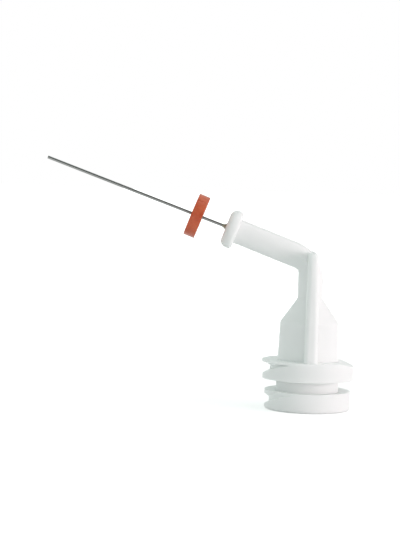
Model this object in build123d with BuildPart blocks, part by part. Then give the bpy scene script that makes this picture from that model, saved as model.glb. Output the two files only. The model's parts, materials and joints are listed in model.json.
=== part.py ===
from build123d import *
import os
from math import cos, radians, sin, tan

# Irrigation tip: a bent hollow hub with a coarse thread, a glued-in cannula, its adhesive and a sliding stop.
# Millimetres. The origin is the centre of the base rim, +Z runs up the hub, and the arm points towards -X.

# Socket for the syringe's cone, with a 6 per cent taper
socket_mouth_radius = 2.15
socket_taper = 0.03
socket_past_body = 0.10
socket_mouth_chamfer = 0.12
cone_end_setback = 0.35

# Threaded base: a wall round the socket, widened to a band below, a crest above and a thin ledge on top
base_height = 4.25
root_wall = 0.55
band_depth = 0.99
crest_depth = 1.22
ledge_depth = 1.29
ledge_edge_thickness = 0.18
ledge_foot_thickness = 0.50
ledge_fall = 0.42
rim_round = 0.22
groove_overcut = 0.40

# Lock groove: a deep ring between the band and the crest
lock_floor_low = 1.58
lock_floor_high = 2.45
lock_mouth_low = 1.66
lock_mouth_high = 2.65

# Thread: two right-hand grooves that climb at one lead and grow shallower. Heights are taken at -X.
thread_lead = 5.5
thread_starts = 2
thread_height = 0.84
thread_radius = 3.31
thread_runout = 19.0
thread_depth = 0.59
thread_floor_below = 0.24
thread_floor_above = 0.20
thread_mouth_below = 0.52
thread_mouth_above = 0.70
thread_start_angle = 95.0
thread_end_angle = 275.0

# Body, shoulder and neck
body_foot_wall = 0.50
body_draft = 0.12
body_height = 3.28
shoulder_height = 2.05
neck_radius = 1.09
neck_height = 3.23
body_joining = 0.22
shoulder_round = 0.45
neck_round = 0.35

# Elbow and arm, which lie in the XZ plane
elbow_radius = 2.45
elbow_inner_round = 0.40
arm_rise = 20.3
arm_radius = 1.08
arm_length = 6.87

# Flange at the arm's end
flange_overhang = 0.62
flange_thickness = 1.08
flange_front_inset = 0.55
flange_front_setback = 0.60
flange_front_round = 0.64
flange_rear_round = 0.34

# Grip wings: one plate across the neck, thinner at the top, with edges that are nearly half-round
wing_overhang = 1.00
wing_foot_thickness = 1.17
wing_top_thickness = 0.88
wing_offset = 0.10
wing_above_elbow = 0.78
wing_corner = 1.40
wing_edge_round = 0.37

# Cannula of 31 gauge, glued in a little lower than the arm's axis
cannula_radius = 0.13
cannula_wall = 0.065
cannula_exposed = 16.50
cannula_held = 3.00
cannula_lean = 0.7

# Passage from the socket to the cannula, and the adhesive that fills its end
passage_clearance = 0.23
well_clearance = 0.29
well_depth = 0.90
plug_length = 2.20
bead_height = 0.30
bead_foot = 0.23
bead_waist = 0.06
bead_tip = 0.01

# Rubber stop
stop_radius = 1.86
stop_thickness = 0.94
stop_place = 2.67
stop_clearance = 0.02
stop_edge = 0.06

# Radii and heights that follow from these
root_radius = socket_mouth_radius + root_wall
band_radius = root_radius + band_depth
crest_radius = root_radius + crest_depth
ledge_radius = root_radius + ledge_depth
body_foot_radius = socket_mouth_radius + body_foot_wall
body_top_radius = body_foot_radius - body_draft
body_top = base_height + body_height
shoulder_top = body_top + shoulder_height
elbow_height = shoulder_top + neck_height
wing_half_width = body_foot_radius + wing_overhang
wing_top = elbow_height + wing_above_elbow
flange_radius = arm_radius + flange_overhang
flange_face_radius = flange_radius - flange_front_inset
socket_end = body_top + socket_past_body
socket_end_radius = socket_mouth_radius - socket_taper * socket_end
cone_end = shoulder_top - cone_end_setback
passage_radius = cannula_radius + passage_clearance
well_radius = cannula_radius + well_clearance
bead_radius = cannula_radius + bead_foot

# Directions and places in the bend plane
across = Vector(0, 1, 0)
up = Vector(0, 0, 1)
arm_direction = Vector(-cos(radians(arm_rise)), 0, sin(radians(arm_rise)))
cannula_rise = arm_rise - cannula_lean
cannula_direction = Vector(-cos(radians(cannula_rise)), 0, sin(radians(cannula_rise)))
elbow_point = up * elbow_height
flange_rear = elbow_point + arm_direction * arm_length
flange_front = flange_rear + arm_direction * flange_thickness
bend_run = elbow_radius * tan(radians(90 - arm_rise) / 2)

flange_plane = Plane(origin=flange_rear, x_dir=across, z_dir=arm_direction)
face_plane = Plane(origin=flange_front, x_dir=across, z_dir=arm_direction)
cannula_plane = Plane(origin=flange_front, x_dir=across, z_dir=cannula_direction)
profile_plane = Plane(origin=flange_front, x_dir=arm_direction, z_dir=across * -1)
face_axis = Axis(flange_front, arm_direction)


# One start of the thread, placed by its height at -X and cut deep enough to pass the ledge's rim
def thread_groove(height_at_minus_x):
    climb = thread_lead * (thread_start_angle - 180) / 360
    start_height = height_at_minus_x + climb
    start_radius = thread_radius + climb * tan(radians(thread_runout))
    run_height = thread_lead * (thread_end_angle - thread_start_angle) / 360
    cut_depth = ledge_radius + groove_overcut - start_radius
    spread = cut_depth / thread_depth
    outer_below = thread_floor_below + (thread_mouth_below - thread_floor_below) * spread
    outer_above = thread_floor_above + (thread_mouth_above - thread_floor_above) * spread
    section_plane = Plane(origin=(start_radius, 0, start_height), x_dir=(1, 0, 0), z_dir=(0, -1, 0))
    with BuildPart(mode=Mode.PRIVATE) as groove:
        with BuildLine(Plane.XY.offset(start_height)) as path:
            Helix(
                pitch=thread_lead,
                height=run_height,
                radius=start_radius,
                cone_angle=thread_runout,
            )
        with BuildSketch(section_plane):
            with BuildLine():
                Polyline(
                    (0, -thread_floor_below),
                    (cut_depth, -outer_below),
                    (cut_depth, outer_above),
                    (0, thread_floor_above),
                    close=True,
                )
            make_face()
        sweep(path=path.line, is_frenet=True)
    return groove.part.rotate(Axis.Z, thread_start_angle)


thread_grooves = [thread_groove(thread_height + i * thread_lead / thread_starts) for i in range(thread_starts)]

# Threaded base: a stepped drum with a rounded rim and the lock groove, cut by the thread, under a thin ledge
with BuildPart() as base:
    with BuildSketch(Plane.XZ):
        with BuildLine():
            Polyline(
                (0, 0),
                (band_radius, 0),
                (band_radius, lock_mouth_low),
                (root_radius, lock_floor_low),
                (root_radius, lock_floor_high),
                (crest_radius, lock_mouth_high),
                (ledge_radius, base_height),
                (0, base_height),
                close=True,
            )
        make_face()
    revolve(axis=Axis.Z)
    fillet(base.edges().filter_by(GeomType.CIRCLE).sort_by(Axis.Z)[0], radius=rim_round)
    for groove in thread_grooves:
        add(groove, mode=Mode.SUBTRACT)
    with BuildSketch(Plane.XZ):
        with BuildLine():
            Polyline(
                (0, base_height),
                (ledge_radius, base_height),
                (ledge_radius, base_height - ledge_edge_thickness),
                (root_radius, base_height - ledge_foot_thickness),
                (0, base_height - ledge_foot_thickness),
                close=True,
            )
        make_face()
    revolve(axis=Axis.Z)
    with BuildSketch(Plane.XZ):
        with BuildLine():
            Polyline(
                (body_foot_radius, base_height),
                (ledge_radius, base_height),
                (ledge_radius, base_height - ledge_fall),
                close=True,
            )
        make_face()
    extrude(amount=ledge_radius, both=True, mode=Mode.SUBTRACT)

# Body, shoulder and neck, turned as one profile with the soft corners of a moulding
with BuildPart() as body:
    with BuildSketch(Plane.XZ):
        with BuildLine():
            Polyline(
                (0, base_height - body_joining),
                (body_foot_radius, base_height - body_joining),
                (body_foot_radius, base_height),
                (body_top_radius, body_top),
                (neck_radius, shoulder_top),
                (neck_radius, elbow_height - bend_run),
                (0, elbow_height - bend_run),
                close=True,
            )
        make_face()
    revolve(axis=Axis.Z)
    shoulder_ring = body.edges().filter_by(GeomType.CIRCLE).sort_by(Axis.Z)[3]
    fillet(shoulder_ring, radius=shoulder_round)
    neck_ring = body.edges().filter_by(GeomType.CIRCLE).sort_by(Axis.Z)[-2]
    fillet(neck_ring, radius=neck_round)

# Elbow: a round bend kept inside the two straight tubes, so that its inner corner has a small round only
with BuildPart() as bend:
    with BuildLine() as spine:
        FilletPolyline(up * shoulder_top, elbow_point, flange_front, radius=elbow_radius)
    with BuildSketch(Plane.XY.offset(shoulder_top)):
        Circle(arm_radius)
    sweep(path=spine.line)

with BuildPart() as elbow:
    with BuildSketch(Plane.XY.offset(shoulder_top)):
        Circle(neck_radius)
    extrude(amount=elbow_height + bend_run - shoulder_top)
    with BuildSketch(flange_plane):
        Circle(arm_radius)
    extrude(amount=-(arm_length + bend_run))
    add(bend.part, mode=Mode.INTERSECT)
    inner_corner = elbow.edges().sort_by_distance(elbow_point + Vector(-neck_radius, 0, -arm_radius))[0]
    fillet(inner_corner, radius=elbow_inner_round)

# Flange: its front edge falls away in a curve, its rear edge is lightly rounded
with BuildPart() as flange:
    with BuildSketch(profile_plane):
        with BuildLine():
            Polyline(
                (-flange_front_setback, flange_radius),
                (-flange_thickness, flange_radius),
                (-flange_thickness, 0),
                (0, 0),
                (0, flange_face_radius),
            )
            RadiusArc(
                (0, flange_face_radius),
                (-flange_front_setback, flange_radius),
                -flange_front_round,
            )
        make_face()
    revolve(axis=face_axis)
    rear_edge = flange.edges().filter_by(GeomType.CIRCLE).group_by(Axis.X)[-1].sort_by(SortBy.RADIUS)[-1]
    fillet(rear_edge, radius=flange_rear_round)

# Grip wings, rounded at the top corners and all along their rim
with BuildPart() as wings:
    with BuildSketch(Plane.XZ):
        with BuildLine():
            Polyline(
                (wing_offset - wing_foot_thickness / 2, base_height - body_joining),
                (wing_offset + wing_foot_thickness / 2, base_height - body_joining),
                (wing_offset + wing_top_thickness / 2, wing_top),
                (wing_offset - wing_top_thickness / 2, wing_top),
                close=True,
            )
        make_face()
    extrude(amount=wing_half_width, both=True)
    top_corners = wings.edges().filter_by(Axis.X).group_by(Axis.Z)[-1]
    fillet(top_corners, radius=wing_corner)
    foot_edges = wings.faces().sort_by(Axis.Z)[0].edges()
    side_faces = wings.faces().sort_by(Axis.X)
    rim_edges = side_faces[0].edges() + side_faces[-1].edges() - foot_edges
    fillet(rim_edges, radius=wing_edge_round)

# Inside of the hub: tapered socket, cone, bent passage and the adhesive's well
with BuildPart() as inside:
    with BuildSketch(Plane.XZ):
        with BuildLine():
            Polyline(
                (0, 0),
                (socket_mouth_radius + socket_mouth_chamfer, 0),
                (socket_mouth_radius - socket_taper * socket_mouth_chamfer, socket_mouth_chamfer),
                (socket_end_radius, socket_end),
                (passage_radius, cone_end),
                (0, cone_end),
                close=True,
            )
        make_face()
    revolve(axis=Axis.Z)
    with BuildLine() as passage:
        FilletPolyline(up * socket_end, elbow_point, flange_front, radius=elbow_radius)
    with BuildSketch(Plane.XY.offset(socket_end)):
        Circle(passage_radius)
    sweep(path=passage.line)
    with BuildSketch(face_plane):
        Circle(well_radius)
    extrude(amount=-well_depth)

# Hub: the whole white moulding
with BuildPart() as hub:
    add(base.part)
    add(body.part)
    add(elbow.part)
    add(flange.part)
    add(wings.part)
    add(inside.part, mode=Mode.SUBTRACT)

# Cannula: a drawn tube with a square-cut free end
with BuildPart() as cannula:
    with BuildSketch(cannula_plane.offset(-cannula_held)):
        Circle(cannula_radius)
        Circle(cannula_radius - cannula_wall, mode=Mode.SUBTRACT)
    extrude(amount=cannula_held + cannula_exposed)

# Adhesive: a plug in the passage's mouth and the well, with a concave bead up the cannula
with BuildPart() as adhesive_bead:
    with BuildSketch(profile_plane):
        with BuildLine():
            Polyline(
                (bead_height, 0),
                (-plug_length, 0),
                (-plug_length, passage_radius),
                (-well_depth, passage_radius),
                (-well_depth, well_radius),
                (0, well_radius),
                (0, bead_radius),
            )
            ThreePointArc(
                (0, bead_radius),
                (bead_height / 2, cannula_radius + bead_waist),
                (bead_height, cannula_radius + bead_tip),
            )
            Line((bead_height, cannula_radius + bead_tip), (bead_height, 0))
        make_face()
    revolve(axis=face_axis)
    with BuildSketch(cannula_plane.offset(-cannula_held)):
        Circle(cannula_radius)
    extrude(amount=cannula_held + cannula_exposed, mode=Mode.SUBTRACT)

# Rubber stop: a plain disc that slides on the cannula
with BuildPart() as rubber_stop:
    with BuildSketch(cannula_plane.offset(stop_place - stop_thickness / 2)):
        Circle(stop_radius)
        Circle(cannula_radius + stop_clearance, mode=Mode.SUBTRACT)
    extrude(amount=stop_thickness)
    outer_edges = rubber_stop.edges().filter_by(GeomType.CIRCLE).group_by(SortBy.RADIUS)[-1]
    chamfer(outer_edges, length=stop_edge)

os.makedirs("parts", exist_ok=True)
hub.part.label = "hub"
export_step(hub.part, "parts/hub.step")
cannula.part.label = "cannula"
export_step(cannula.part, "parts/cannula.step")
adhesive_bead.part.label = "adhesive_bead"
export_step(adhesive_bead.part, "parts/adhesive_bead.step")
rubber_stop.part.label = "rubber_stop"
export_step(rubber_stop.part, "parts/rubber_stop.step")
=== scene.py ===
import json
from math import cos, pi, radians, sin

import bmesh
import bpy
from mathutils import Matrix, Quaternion, Vector


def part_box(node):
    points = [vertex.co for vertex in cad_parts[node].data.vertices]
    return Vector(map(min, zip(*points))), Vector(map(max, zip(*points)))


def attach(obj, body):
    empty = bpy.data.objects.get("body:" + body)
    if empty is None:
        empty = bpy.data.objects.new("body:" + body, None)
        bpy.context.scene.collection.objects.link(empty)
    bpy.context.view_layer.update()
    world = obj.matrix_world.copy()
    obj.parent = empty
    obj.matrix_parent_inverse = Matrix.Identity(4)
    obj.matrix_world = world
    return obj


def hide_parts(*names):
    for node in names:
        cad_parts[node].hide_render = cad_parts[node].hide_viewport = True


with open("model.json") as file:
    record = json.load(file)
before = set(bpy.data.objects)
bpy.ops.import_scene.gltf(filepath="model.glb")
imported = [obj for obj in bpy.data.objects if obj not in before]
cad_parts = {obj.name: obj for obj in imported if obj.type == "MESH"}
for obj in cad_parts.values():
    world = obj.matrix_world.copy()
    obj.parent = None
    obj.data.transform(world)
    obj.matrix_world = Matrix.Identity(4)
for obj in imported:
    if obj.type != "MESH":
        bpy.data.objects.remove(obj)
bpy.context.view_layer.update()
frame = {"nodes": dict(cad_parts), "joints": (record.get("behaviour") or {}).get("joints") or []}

MM = 0.001

# Direction of the cannula, read from the joint that the stop slides on
SLIDE = next(joint for joint in frame["joints"] if joint["name"] == "stop_slide")
CANNULA_WAY = Vector(SLIDE["axis"]).normalized()
ACROSS = Vector((0, 1, 0))


# Helpers for meshes

MERGE_WITHIN = 0.0005 * MM


def deselect_all():
    if bpy.context.object and bpy.context.object.mode != "OBJECT":
        bpy.ops.object.mode_set(mode="OBJECT")
    bpy.ops.object.select_all(action="DESELECT")


def make_active(piece):
    deselect_all()
    piece.select_set(True)
    bpy.context.view_layer.objects.active = piece


def open_for_edit(piece, select_by):
    """Opens a piece in edit mode with nothing selected, and gives its mesh."""
    make_active(piece)
    bpy.ops.object.mode_set(mode="EDIT")
    bpy.ops.mesh.select_mode(type=select_by)
    bpy.ops.mesh.select_all(action="DESELECT")
    return bmesh.from_edit_mesh(piece.data)


def turned_piece(name, rings, sides):
    """A closed turned piece along +Z. Each ring is (height, radius), and the last one meets the first."""
    deselect_all()
    first_height, first_radius = rings[0]
    bpy.ops.mesh.primitive_circle_add(vertices=sides, radius=first_radius)
    piece = bpy.context.object
    piece.name = name
    bpy.ops.object.mode_set(mode="EDIT")
    bpy.ops.mesh.select_all(action="SELECT")
    bpy.ops.transform.translate(value=(0, 0, first_height))
    for (height, radius), (next_height, next_radius) in zip(rings, rings[1:] + rings[:1]):
        bpy.ops.mesh.extrude_region_move(TRANSFORM_OT_translate={"value": (0, 0, next_height - height)})
        grow = next_radius / radius
        bpy.ops.transform.resize(value=(grow, grow, 1), center_override=(0, 0, next_height))
    bpy.ops.mesh.select_all(action="SELECT")
    bpy.ops.mesh.remove_doubles(threshold=MERGE_WITHIN)
    bpy.ops.mesh.normals_make_consistent(inside=False)
    bpy.ops.object.mode_set(mode="OBJECT")
    return piece


def round_edges(piece, width, steps, sharper_than):
    """Rounds the edges that turn by more than an angle in degrees."""
    make_active(piece)
    bevel = piece.modifiers.new("Bevel", "BEVEL")
    bevel.width = width
    bevel.segments = steps
    bevel.limit_method = "ANGLE"
    bevel.angle_limit = radians(sharper_than)
    bpy.ops.object.modifier_apply(modifier=bevel.name)


def set_on_cannula(piece, place, way=CANNULA_WAY):
    """Turns a piece from +Z to the cannula's direction, and takes its place into its mesh."""
    make_active(piece)
    piece.rotation_mode = "QUATERNION"
    piece.rotation_quaternion = way.to_track_quat("Z", "Y")
    piece.location = place
    bpy.ops.object.transform_apply(location=True, rotation=True, scale=True)


def smooth(piece, flatter_than):
    """Shades a piece smooth over the edges that turn by less than an angle in degrees."""
    make_active(piece)
    bpy.ops.object.shade_smooth_by_angle(angle=radians(flatter_than))


def straight_node(node):
    """Centre, radius and length of a node that is a plain cylinder along the cannula."""
    low, high = (Vector(corner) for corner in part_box(node))
    size = high - low
    radius = size.y / 2
    length = (size.x - 2 * radius * abs(CANNULA_WAY.z)) / abs(CANNULA_WAY.x)
    return (low + high) / 2, radius, length


# Shader node groups that several finishes share

GRAIN_DETAIL = 3.0
WAVE_DETAIL = 2.0
DRIFT_DETAIL = 4.0
DRIFT_LOW = 0.35
DRIFT_HIGH = 0.65


def new_group(name, inputs, outputs):
    group = bpy.data.node_groups.new(name, "ShaderNodeTree")
    for label, kind, value in inputs:
        socket = group.interface.new_socket(label, in_out="INPUT", socket_type=kind)
        socket.default_value = value
    for label, kind in outputs:
        group.interface.new_socket(label, in_out="OUTPUT", socket_type=kind)
    way_in = group.nodes.new("NodeGroupInput")
    way_out = group.nodes.new("NodeGroupOutput")
    return group, way_in, way_out


def moulded_grain_group():
    """Very fine grain of a moulded surface with soft waves under it, as a height."""
    group, way_in, way_out = new_group(
        "moulded_grain",
        [
            ("Vector", "NodeSocketVector", (0, 0, 0)),
            ("Grain Scale", "NodeSocketFloat", 9000.0),
            ("Wave Scale", "NodeSocketFloat", 700.0),
            ("Wave Share", "NodeSocketFloat", 0.5),
        ],
        [("Height", "NodeSocketFloat")],
    )
    nodes, links = group.nodes, group.links
    grain = nodes.new("ShaderNodeTexNoise")
    grain.inputs["Detail"].default_value = GRAIN_DETAIL
    waves = nodes.new("ShaderNodeTexNoise")
    waves.inputs["Detail"].default_value = WAVE_DETAIL
    mix = nodes.new("ShaderNodeMix")
    links.new(way_in.outputs["Vector"], grain.inputs["Vector"])
    links.new(way_in.outputs["Vector"], waves.inputs["Vector"])
    links.new(way_in.outputs["Grain Scale"], grain.inputs["Scale"])
    links.new(way_in.outputs["Wave Scale"], waves.inputs["Scale"])
    links.new(way_in.outputs["Wave Share"], mix.inputs["Factor"])
    links.new(grain.outputs["Fac"], mix.inputs["A"])
    links.new(waves.outputs["Fac"], mix.inputs["B"])
    links.new(mix.outputs["Result"], way_out.inputs["Height"])
    return group


def tone_drift_group():
    """Slow drift between two tones over a piece, as in a moulding that cooled unevenly."""
    group, way_in, way_out = new_group(
        "tone_drift",
        [
            ("Vector", "NodeSocketVector", (0, 0, 0)),
            ("Scale", "NodeSocketFloat", 250.0),
            ("Tone A", "NodeSocketColor", (1, 1, 1, 1)),
            ("Tone B", "NodeSocketColor", (1, 1, 1, 1)),
        ],
        [("Color", "NodeSocketColor"), ("Mask", "NodeSocketFloat")],
    )
    nodes, links = group.nodes, group.links
    noise = nodes.new("ShaderNodeTexNoise")
    noise.inputs["Detail"].default_value = DRIFT_DETAIL
    spread = nodes.new("ShaderNodeMapRange")
    spread.inputs["From Min"].default_value = DRIFT_LOW
    spread.inputs["From Max"].default_value = DRIFT_HIGH
    mix = nodes.new("ShaderNodeMix")
    mix.data_type = "RGBA"
    links.new(way_in.outputs["Vector"], noise.inputs["Vector"])
    links.new(way_in.outputs["Scale"], noise.inputs["Scale"])
    links.new(noise.outputs["Fac"], spread.inputs["Value"])
    links.new(spread.outputs["Result"], mix.inputs["Factor"])
    links.new(way_in.outputs["Tone A"], mix.inputs["A"])
    links.new(way_in.outputs["Tone B"], mix.inputs["B"])
    links.new(mix.outputs["Result"], way_out.inputs["Color"])
    links.new(spread.outputs["Result"], way_out.inputs["Mask"])
    return group


GRAIN = moulded_grain_group()
DRIFT = tone_drift_group()


# Helpers for finishes

def new_finish(name):
    """A material with its shader and its object coordinates ready."""
    finish = bpy.data.materials.new(name)
    finish.use_nodes = True
    shader = finish.node_tree.nodes["Principled BSDF"]
    place = finish.node_tree.nodes.new("ShaderNodeTexCoord")
    return finish, finish.node_tree.nodes, finish.node_tree.links, shader, place.outputs["Object"]


def set_inputs(node, values):
    for label, value in values.items():
        node.inputs[label].default_value = value


def add_group(nodes, links, group, place, values):
    node = nodes.new("ShaderNodeGroup")
    node.node_tree = group
    links.new(place, node.inputs["Vector"])
    set_inputs(node, values)
    return node


def add_tones(nodes, links, shader, place, tones, scale):
    """Lets the colour drift between two tones, and gives the mask of the second."""
    values = {"Scale": scale, "Tone A": tones[0], "Tone B": tones[1]}
    drift = add_group(nodes, links, DRIFT, place, values)
    links.new(drift.outputs["Color"], shader.inputs["Base Color"])
    return drift.outputs["Mask"]


def add_bump(nodes, links, shader, height, distance, strength):
    bump = nodes.new("ShaderNodeBump")
    set_inputs(bump, {"Distance": distance, "Strength": strength})
    links.new(height, bump.inputs["Height"])
    links.new(bump.outputs["Normal"], shader.inputs["Normal"])


def add_grain(nodes, links, shader, place, grain, distance, strength):
    texture = add_group(nodes, links, GRAIN, place, grain)
    add_bump(nodes, links, shader, texture.outputs["Height"], distance, strength)


def add_roughness(nodes, links, shader, mask, limits):
    spread = nodes.new("ShaderNodeMapRange")
    set_inputs(spread, {"To Min": limits[0], "To Max": limits[1]})
    links.new(mask, spread.inputs["Value"])
    links.new(spread.outputs["Result"], shader.inputs["Roughness"])


# Finish of the hub: white, slightly translucent polypropylene with a satin mould finish

PLASTIC_TONES = ((0.945, 0.965, 0.955, 1), (0.96, 0.975, 0.965, 1))
PLASTIC_TONE_SCALE = 160.0
PLASTIC_GRAIN = {"Grain Scale": 14000.0, "Wave Scale": 900.0, "Wave Share": 0.6}
PLASTIC_GRAIN_HEIGHT = 0.02 * MM
PLASTIC_GRAIN_STRENGTH = 0.25
PLASTIC_ROUGHNESS = (0.46, 0.54)
PLASTIC_BODY = {
    "IOR": 1.49,
    "Subsurface Weight": 1.0,
    "Subsurface Radius": (1.0, 1.0, 1.0),
    "Subsurface Scale": 0.3 * MM,
}


def moulded_polypropylene():
    finish, nodes, links, shader, place = new_finish("moulded_polypropylene")
    mask = add_tones(nodes, links, shader, place, PLASTIC_TONES, PLASTIC_TONE_SCALE)
    add_grain(nodes, links, shader, place, PLASTIC_GRAIN, PLASTIC_GRAIN_HEIGHT, PLASTIC_GRAIN_STRENGTH)
    add_roughness(nodes, links, shader, mask, PLASTIC_ROUGHNESS)
    set_inputs(shader, PLASTIC_BODY)
    return finish


# Finish of the cannula: stainless steel with fine lines along its length from drawing

STEEL_TONES = ((0.22, 0.22, 0.22, 1), (0.30, 0.30, 0.29, 1))
STEEL_LINE_STRETCH = 40.0
STEEL_LINES = {"Scale": 60000.0, "Detail": 4.0}
STEEL_LINE_HEIGHT = 0.001 * MM
STEEL_LINE_STRENGTH = 0.15
STEEL_ROUGHNESS = (0.28, 0.36)


def drawn_steel():
    finish, nodes, links, shader, place = new_finish("drawn_steel")
    turn = nodes.new("ShaderNodeMapping")
    turn.vector_type = "TEXTURE"
    turn.inputs["Rotation"].default_value = CANNULA_WAY.to_track_quat("X", "Z").to_euler()
    turn.inputs["Scale"].default_value = (STEEL_LINE_STRETCH, 1.0, 1.0)
    links.new(place, turn.inputs["Vector"])
    lines = nodes.new("ShaderNodeTexNoise")
    set_inputs(lines, STEEL_LINES)
    links.new(turn.outputs["Vector"], lines.inputs["Vector"])
    tones = nodes.new("ShaderNodeMix")
    tones.data_type = "RGBA"
    tones.inputs["A"].default_value, tones.inputs["B"].default_value = STEEL_TONES
    links.new(lines.outputs["Fac"], tones.inputs["Factor"])
    links.new(tones.outputs["Result"], shader.inputs["Base Color"])
    add_bump(nodes, links, shader, lines.outputs["Fac"], STEEL_LINE_HEIGHT, STEEL_LINE_STRENGTH)
    add_roughness(nodes, links, shader, lines.outputs["Fac"], STEEL_ROUGHNESS)
    shader.inputs["Metallic"].default_value = 1.0
    return finish


# Finish of the adhesive: dark olive, glossy and a little uneven where it ran

ADHESIVE_TONES = ((0.23, 0.245, 0.185, 1), (0.38, 0.39, 0.31, 1))
ADHESIVE_TONE_SCALE = 2500.0
ADHESIVE_GRAIN = {"Grain Scale": 9000.0, "Wave Scale": 3000.0, "Wave Share": 0.9}
ADHESIVE_GRAIN_HEIGHT = 0.03 * MM
ADHESIVE_GRAIN_STRENGTH = 0.4
ADHESIVE_GLOSS = {"Roughness": 0.22, "Coat Weight": 0.3, "Coat Roughness": 0.1}


def cured_adhesive():
    finish, nodes, links, shader, place = new_finish("cured_adhesive")
    add_tones(nodes, links, shader, place, ADHESIVE_TONES, ADHESIVE_TONE_SCALE)
    add_grain(nodes, links, shader, place, ADHESIVE_GRAIN, ADHESIVE_GRAIN_HEIGHT, ADHESIVE_GRAIN_STRENGTH)
    set_inputs(shader, ADHESIVE_GLOSS)
    return finish


# Finish of the stop: orange-red silicone with a satin skin and slightly cloudy pigment

SILICONE_TONES = ((0.50, 0.078, 0.026, 1), (0.62, 0.135, 0.058, 1))
SILICONE_TONE_SCALE = 900.0
SILICONE_GRAIN = {"Grain Scale": 16000.0, "Wave Scale": 2500.0, "Wave Share": 0.35}
SILICONE_GRAIN_HEIGHT = 0.02 * MM
SILICONE_GRAIN_STRENGTH = 0.5
SILICONE_ROUGHNESS = (0.32, 0.44)
SILICONE_SKIN = {
    "Sheen Weight": 0.30,
    "Sheen Roughness": 0.35,
    "IOR": 1.41,
    "Subsurface Weight": 0.25,
    "Subsurface Radius": (1.0, 0.35, 0.2),
    "Subsurface Scale": 0.3 * MM,
}


def silicone_rubber():
    finish, nodes, links, shader, place = new_finish("silicone_rubber")
    mask = add_tones(nodes, links, shader, place, SILICONE_TONES, SILICONE_TONE_SCALE)
    add_grain(nodes, links, shader, place, SILICONE_GRAIN, SILICONE_GRAIN_HEIGHT, SILICONE_GRAIN_STRENGTH)
    add_roughness(nodes, links, shader, mask, SILICONE_ROUGHNESS)
    set_inputs(shader, SILICONE_SKIN)
    return finish


# Finish of each node

FINISHES = {
    "hub": moulded_polypropylene(),
    "cannula": drawn_steel(),
    "adhesive_bead": cured_adhesive(),
    "rubber_stop": silicone_rubber(),
}


def dress(piece, finish):
    piece.data.materials.clear()
    piece.data.materials.append(finish)


def finish_piece(piece, node, body):
    dress(piece, FINISHES[node])
    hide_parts(node)
    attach(piece, body)


for node_name, node_finish in FINISHES.items():
    dress(frame["nodes"][node_name], node_finish)


# Cannula: a drawn tube with its lumen open at the blunt end, whose rim is lightly deburred

CANNULA_WALL = 0.065 * MM
CANNULA_SIDES = 64
CANNULA_SMOOTH = 40
DEBURR = 0.012 * MM
DEBURR_STEPS = 3
DEBURR_FROM = 60


def make_cannula():
    centre, radius, length = straight_node("cannula")
    bore = radius - CANNULA_WALL
    half = length / 2
    rings = [(-half, radius), (half, radius), (half, bore), (-half, bore)]
    tube = turned_piece("cannula_tube", rings, CANNULA_SIDES)
    round_edges(tube, DEBURR, DEBURR_STEPS, DEBURR_FROM)
    set_on_cannula(tube, centre)
    smooth(tube, CANNULA_SMOOTH)
    finish_piece(tube, "cannula", "tip")


# Adhesive: the plug that fills the hub's well and the fillet that it draws up the cannula

CANNULA_EXPOSED = 16.5 * MM
PLUG_DEPTH = 2.2 * MM
PLUG_RADIUS = 0.36 * MM
WELL_DEPTH = 0.9 * MM
WELL_RADIUS = 0.42 * MM
FILLET_FOOT = 0.40 * MM
FILLET_HEIGHT = 0.34 * MM
FILLET_STEPS = 10
FILLET_FILM = 0.008 * MM
ADHESIVE_SIDES = 64
ADHESIVE_SMOOTH = 50


def make_adhesive():
    centre, radius, length = straight_node("cannula")
    face = centre + CANNULA_WAY * (length / 2 - CANNULA_EXPOSED)
    film = radius + FILLET_FILM
    rings = [(-PLUG_DEPTH, radius), (-PLUG_DEPTH, PLUG_RADIUS), (-WELL_DEPTH, PLUG_RADIUS)]
    rings += [(-WELL_DEPTH, WELL_RADIUS), (0, WELL_RADIUS)]
    for step in range(FILLET_STEPS + 1):
        turn = step / FILLET_STEPS * pi / 2
        rings.append((FILLET_HEIGHT * (1 - cos(turn)), FILLET_FOOT - (FILLET_FOOT - film) * sin(turn)))
    rings.append((FILLET_HEIGHT, radius))
    bead = turned_piece("adhesive_fillet", rings, ADHESIVE_SIDES)
    set_on_cannula(bead, face)
    smooth(bead, ADHESIVE_SMOOTH)
    finish_piece(bead, "adhesive_bead", "tip")


# Rubber stop: a moulded disc with soft rims, slightly hollow faces and fine parting lines across its rim.
# Until it is set on the cannula, it lies along +Z with its top at +Y. Angles run from the top.

STOP_FULLER = 0.028 * MM
STOP_THICKER = 0.045 * MM
STOP_HANGS = 0.05 * MM
STOP_TILT = 1.6
STOP_DISH = 0.04 * MM
STOP_DISH_SHARE = 0.72
STOP_HOLE_GAP = 0.005 * MM
STOP_HELD_SHARE = 2
STOP_SIDES = 120
STOP_RIM = 0.045 * MM
STOP_RIM_STEPS = 5
STOP_RIM_FROM = 50
STOP_SMOOTH = 40
PARTING_ANGLES = (44, 224)
PARTING_INSET = 0.022 * MM
PARTING_HEIGHT = 0.03 * MM


def raise_parting_line(stop, angle):
    """Raises the fine line that the two halves of the mould leave across the rim."""
    mesh = open_for_edit(stop, "FACE")
    way = Vector((sin(radians(angle)), cos(radians(angle)), 0))
    facing = [face for face in mesh.faces if face.normal.dot(way) > cos(pi / STOP_SIDES)]
    strip = max(facing, key=lambda face: face.calc_area())
    strip.select = True
    bmesh.update_edit_mesh(stop.data)
    bpy.ops.mesh.inset(thickness=PARTING_INSET)
    bpy.ops.mesh.extrude_region_move(TRANSFORM_OT_translate={"value": way * PARTING_HEIGHT})
    bpy.ops.object.mode_set(mode="OBJECT")


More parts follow.
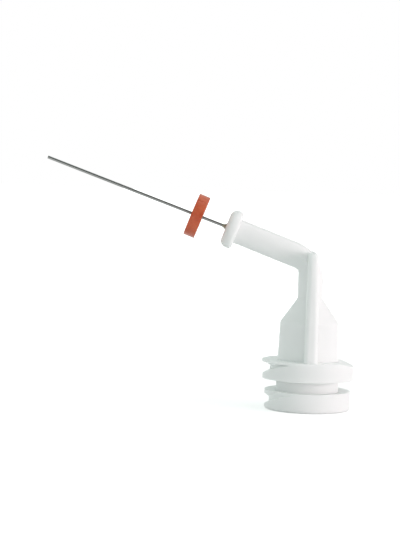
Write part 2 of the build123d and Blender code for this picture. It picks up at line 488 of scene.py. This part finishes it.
def let_rim_hang(stop, held_radius):
    """Moves the disc down a little, while its hole stays round the cannula."""
    mesh = open_for_edit(stop, "VERT")
    for vertex in mesh.verts:
        vertex.select = vertex.co.xy.length > held_radius
    mesh.select_flush(True)
    bmesh.update_edit_mesh(stop.data)
    bpy.ops.transform.translate(value=(0, -STOP_HANGS, 0))
    bpy.ops.object.mode_set(mode="OBJECT")


def make_stop():
    centre, radius, thickness = straight_node("rubber_stop")
    hole = straight_node("cannula")[1] + STOP_HOLE_GAP
    radius += STOP_FULLER
    half = thickness / 2 + STOP_THICKER
    dish = radius * STOP_DISH_SHARE
    rings = [(-half + STOP_DISH, hole), (-half + STOP_DISH, dish), (-half, radius), (half, radius)]
    rings += [(half - STOP_DISH, dish), (half - STOP_DISH, hole)]
    stop = turned_piece("stop_disc", rings, STOP_SIDES)
    round_edges(stop, STOP_RIM, STOP_RIM_STEPS, STOP_RIM_FROM)
    for angle in PARTING_ANGLES:
        raise_parting_line(stop, angle)
    let_rim_hang(stop, hole * STOP_HELD_SHARE)
    way = CANNULA_WAY.copy()
    way.rotate(Quaternion(ACROSS, radians(STOP_TILT)))
    set_on_cannula(stop, centre, way)
    smooth(stop, STOP_SMOOTH)
    finish_piece(stop, "rubber_stop", "stop")


make_cannula()
make_adhesive()
make_stop()


# Floor: matt, with the soft shadow near the object and plain white farther out

FLOOR_SIZE = 6.0
FLOOR_WHITE = 0.88
FLOOR_LIFT = 0.38
SHADOW_NEAR = 22 * MM
SHADOW_FAR = 60 * MM


def white_seen_by_camera(nodes, links):
    """1 for rays from the camera, reflections and refractions, 0 for the rays that light the object."""
    rays = nodes.new("ShaderNodeLightPath").outputs
    first = nodes.new("ShaderNodeMath")
    first.operation = "MAXIMUM"
    second = nodes.new("ShaderNodeMath")
    second.operation = "MAXIMUM"
    links.new(rays["Is Camera Ray"], first.inputs[0])
    links.new(rays["Is Glossy Ray"], first.inputs[1])
    links.new(first.outputs["Value"], second.inputs[0])
    links.new(rays["Is Transmission Ray"], second.inputs[1])
    return second.outputs["Value"]


def pale_floor():
    """Matt paint, plus a white that lights nothing and that grows with the distance from the object."""
    finish = bpy.data.materials.new("pale_floor")
    finish.use_nodes = True
    nodes, links = finish.node_tree.nodes, finish.node_tree.links
    nodes.remove(nodes["Principled BSDF"])
    matt = nodes.new("ShaderNodeBsdfDiffuse")
    matt.inputs["Color"].default_value = (FLOOR_WHITE, FLOOR_WHITE, FLOOR_WHITE, 1)
    place = nodes.new("ShaderNodeTexCoord")
    distance = nodes.new("ShaderNodeVectorMath")
    distance.operation = "LENGTH"
    links.new(place.outputs["Object"], distance.inputs[0])
    reach = nodes.new("ShaderNodeMapRange")
    reach.interpolation_type = "SMOOTHSTEP"
    set_inputs(reach, {"From Min": SHADOW_NEAR, "From Max": SHADOW_FAR, "To Min": FLOOR_LIFT})
    links.new(distance.outputs["Value"], reach.inputs["Value"])
    strength = nodes.new("ShaderNodeMath")
    strength.operation = "MULTIPLY"
    links.new(reach.outputs["Result"], strength.inputs[0])
    links.new(white_seen_by_camera(nodes, links), strength.inputs[1])
    lift = nodes.new("ShaderNodeEmission")
    links.new(strength.outputs["Value"], lift.inputs["Strength"])
    both = nodes.new("ShaderNodeAddShader")
    links.new(matt.outputs["BSDF"], both.inputs[0])
    links.new(lift.outputs["Emission"], both.inputs[1])
    links.new(both.outputs["Shader"], nodes["Material Output"].inputs["Surface"])
    return finish


def make_floor():
    deselect_all()
    bpy.ops.mesh.primitive_plane_add(size=FLOOR_SIZE, location=(0, 0, 0))
    floor = bpy.context.object
    floor.name = "floor"
    dress(floor, pale_floor())


# Surround: white to the camera. Its light is a little stronger from the left, from behind and from above.
# Its reflections are bright at the left and behind, and dark towards the right and the front.

SURROUND_LIGHT = 0.57
SURROUND_SLOPE = (-0.22, 0.10, 0.13)
SURROUND_TINT = (0.905, 1.0, 0.965, 1)
REFLECTION_SLOPE = (-0.90, 0.50, 0.0)
REFLECTION_SPAN = (-0.7, 0.3)
REFLECTION_RANGE = (0.12, 0.80)
WHITE = (1, 1, 1, 1)


def slope_along(nodes, links, place, way):
    """Grows from one side of the surround to the other, by the direction that is looked in."""
    slope = nodes.new("ShaderNodeVectorMath")
    slope.operation = "DOT_PRODUCT"
    slope.inputs[1].default_value = way
    links.new(place, slope.inputs[0])
    return slope.outputs["Value"]


def choose(nodes, links, ray, without, with_ray):
    """One value for a kind of ray, and another for all other rays."""
    mix = nodes.new("ShaderNodeMix")
    links.new(ray, mix.inputs["Factor"])
    links.new(without, mix.inputs["A"])
    links.new(with_ray, mix.inputs["B"])
    return mix.outputs["Result"]


def make_surround():
    world = bpy.data.worlds.new("studio")
    bpy.context.scene.world = world
    world.use_nodes = True
    nodes, links = world.node_tree.nodes, world.node_tree.links
    background = nodes["Background"]
    place = nodes.new("ShaderNodeTexCoord").outputs["Generated"]
    rays = nodes.new("ShaderNodeLightPath").outputs

    light = nodes.new("ShaderNodeMath")
    light.operation = "ADD"
    light.inputs[1].default_value = SURROUND_LIGHT
    links.new(slope_along(nodes, links, place, SURROUND_SLOPE), light.inputs[0])

    reflection = nodes.new("ShaderNodeMapRange")
    reflection.interpolation_type = "SMOOTHSTEP"
    set_inputs(reflection, {"From Min": REFLECTION_SPAN[0], "From Max": REFLECTION_SPAN[1]})
    set_inputs(reflection, {"To Min": REFLECTION_RANGE[0], "To Max": REFLECTION_RANGE[1]})
    links.new(slope_along(nodes, links, place, REFLECTION_SLOPE), reflection.inputs["Value"])

    full = nodes.new("ShaderNodeValue").outputs["Value"]
    full.default_value = 1.0
    strength = light.outputs["Value"]
    strength = choose(nodes, links, rays["Is Glossy Ray"], strength, reflection.outputs["Result"])
    strength = choose(nodes, links, rays["Is Transmission Ray"], strength, full)
    strength = choose(nodes, links, rays["Is Camera Ray"], strength, full)
    links.new(strength, background.inputs["Strength"])

    tint = nodes.new("ShaderNodeMix")
    tint.data_type = "RGBA"
    set_inputs(tint, {"A": SURROUND_TINT, "B": WHITE})
    links.new(rays["Is Camera Ray"], tint.inputs["Factor"])
    links.new(tint.outputs["Result"], background.inputs["Color"])


# Soft lights: one low at the right that stays out of reflections, and one above. Lengths are in mm.

KEY_COLOR = (1.0, 0.885, 0.915)
HUB_FOOT = (0, 0, 4)
HUB_MIDDLE = (0, 0, 8)
RIGHT_SOFTBOX = {"place": (96, -61, 19), "aim": HUB_FOOT, "size": (80, 44), "watts": 0.064}
TOP_SOFTBOX = {"place": (80, 0, 168), "aim": HUB_MIDDLE, "size": (120, 120), "watts": 0.054}


def point_at(holder, place, aim):
    """Puts a lamp or camera at its place and turns it to what it aims at, both in mm."""
    place, aim = Vector(place) * MM, Vector(aim) * MM
    holder.location = place
    holder.rotation_mode = "QUATERNION"
    holder.rotation_quaternion = (aim - place).to_track_quat("-Z", "Y")


def add_soft_light(name, place, aim, size, watts, reflected):
    lamp = bpy.data.lights.new(name, "AREA")
    lamp.shape = "RECTANGLE"
    lamp.size = size[0] * MM
    lamp.size_y = size[1] * MM
    lamp.energy = watts
    lamp.color = KEY_COLOR
    holder = bpy.data.objects.new(name, lamp)
    bpy.context.scene.collection.objects.link(holder)
    point_at(holder, place, aim)
    holder.visible_glossy = reflected


make_floor()
make_surround()
add_soft_light("right_softbox", **RIGHT_SOFTBOX, reflected=False)
add_soft_light("top_softbox", **TOP_SOFTBOX, reflected=True)


# Camera, fitted to the landmarks of the photograph. Place and aim are in mm, and the roll is in degrees.

CAMERA_PLACE = (-6.27, -149.73, 19.54)
CAMERA_AIM = (-9.56, 0.0, 10.88)
CAMERA_ROLL = 1.72
LENS_MM = 111.5
SENSOR_MM = 36.0
NEAREST_SEEN = 0.005
FARTHEST_SEEN = 5.0


def make_camera():
    camera = bpy.data.cameras.new("camera")
    camera.lens = LENS_MM
    camera.sensor_width = SENSOR_MM
    camera.clip_start = NEAREST_SEEN
    camera.clip_end = FARTHEST_SEEN
    holder = bpy.data.objects.new("camera", camera)
    bpy.context.scene.collection.objects.link(holder)
    point_at(holder, CAMERA_PLACE, CAMERA_AIM)
    holder.rotation_quaternion = holder.rotation_quaternion @ Quaternion((0, 0, 1), radians(CAMERA_ROLL))
    bpy.context.scene.camera = holder


make_camera()
bpy.context.scene.view_settings.view_transform = "Standard"
